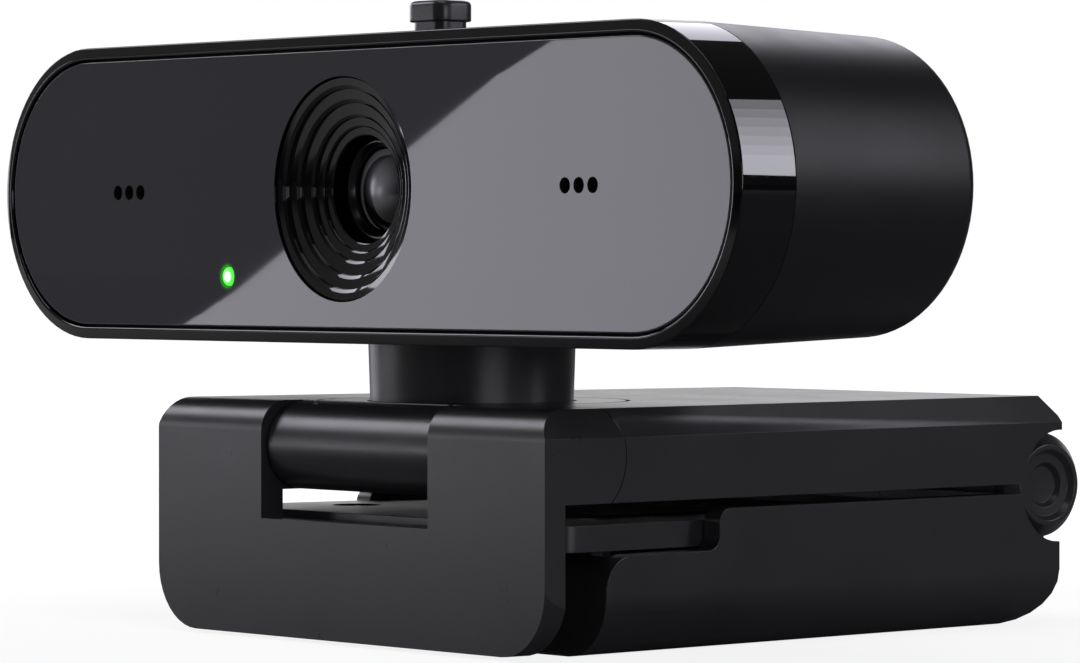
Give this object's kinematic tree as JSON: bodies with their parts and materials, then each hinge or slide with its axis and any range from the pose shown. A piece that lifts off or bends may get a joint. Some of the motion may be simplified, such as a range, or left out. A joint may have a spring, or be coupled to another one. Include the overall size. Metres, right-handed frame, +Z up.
{
  "type": "webcam with folding monitor clip",
  "caption": "Wide stadium-shaped webcam head with glass front, stepped lens recess and privacy slider, tilting on a round swivel neck over a folding monitor clip with a tripod thread.",
  "frame": {"origin": "on the neck's swivel axis, at the flat underside of the folded leg, on which the webcam stands", "axes": "+Z up; -Y the way the camera looks; +X the camera head's long direction, to the right seen from the front"},
  "size_m": [0.1, 0.0681, 0.054],
  "materials": {
    "gloss_black": "gloss black",
    "matte_black": "fine matte black",
    "satin_grey": "satin charcoal",
    "smoked_glass": "smoked, polished",
    "lens_glass": "coated optical glass",
    "black_rubber": "matte rubber",
    "steel": "zinc plated",
    "brass": "turned brass",
    "board_green": "solder mask",
    "chip_black": "moulded",
    "led_green": "lit green",
    "socket_white": "moulded"
  },
  "bodies": {
    "clip_arm": {"arm_shell": "satin_grey", "arm_cover": "satin_grey", "arm_pad": "black_rubber", "lip_pin": "steel", "arm_cover_screw_1": "steel", "arm_cover_screw_2": "steel", "arm_cover_screw_3": "steel", "arm_cover_screw_4": "steel"},
    "folding_lip": {"front_lip": "satin_grey", "lip_pad": "black_rubber"},
    "folding_leg": {"leg_shell": "satin_grey", "leg_tongue": "satin_grey", "leg_pad": "black_rubber", "tripod_insert": "brass", "rear_pin": "steel", "hinge_cap_right": "satin_grey", "hinge_cap_left": "satin_grey", "leg_screw_1": "steel", "leg_screw_2": "steel", "leg_screw_3": "steel", "leg_screw_4": "steel"},
    "swivel_neck": {"neck": "satin_grey", "swivel_washer": "steel", "swivel_screw": "steel"},
    "camera_head": {"front_bezel": "gloss_black", "front_glass": "smoked_glass", "rear_shell": "matte_black", "lens_dish": "gloss_black", "lens_barrel": "matte_black", "lens_element": "lens_glass", "lens_holder": "chip_black", "image_sensor": "chip_black", "main_board": "board_green", "processor_chip": "chip_black", "cable_socket": "socket_white", "tilt_pin": "steel", "cable_gland": "black_rubber", "light_pipe": "led_green", "status_led": "led_green", "mic_boot_left": "black_rubber", "mic_boot_right": "black_rubber", "microphone_left": "steel", "microphone_right": "steel", "case_screw_left": "steel", "case_screw_right": "steel", "board_screw_left": "steel", "board_screw_right": "steel"},
    "privacy_shutter": {"privacy_knob": "satin_grey", "shutter_blade": "matte_black"}
  },
  "joints": [
    {"name": "lip_hinge", "type": "hinge", "parent": "clip_arm", "child": "folding_lip", "pos_m": [0, -0.0096, 0.01635], "axis": [-1, 0, 0], "range_deg": [0, 90]},
    {"name": "leg_hinge", "type": "hinge", "parent": "clip_arm", "child": "folding_leg", "pos_m": [0, 0.0494, 0.0123], "axis": [1, 0, 0], "range_deg": [0, 105]},
    {"name": "head_pan", "type": "hinge", "parent": "clip_arm", "child": "swivel_neck", "pos_m": [0, 0, 0.0202], "axis": [0, 0, 1], "range_deg": [-170, 170]},
    {"name": "head_tilt", "type": "hinge", "parent": "swivel_neck", "child": "camera_head", "pos_m": [0, 0, 0.02675], "axis": [1, 0, 0], "range_deg": [-12, 12]},
    {"name": "shutter_slide", "type": "slide", "parent": "camera_head", "child": "privacy_shutter", "axis": [-1, 0, 0], "range_m": [0, 0.011]}
  ]
}
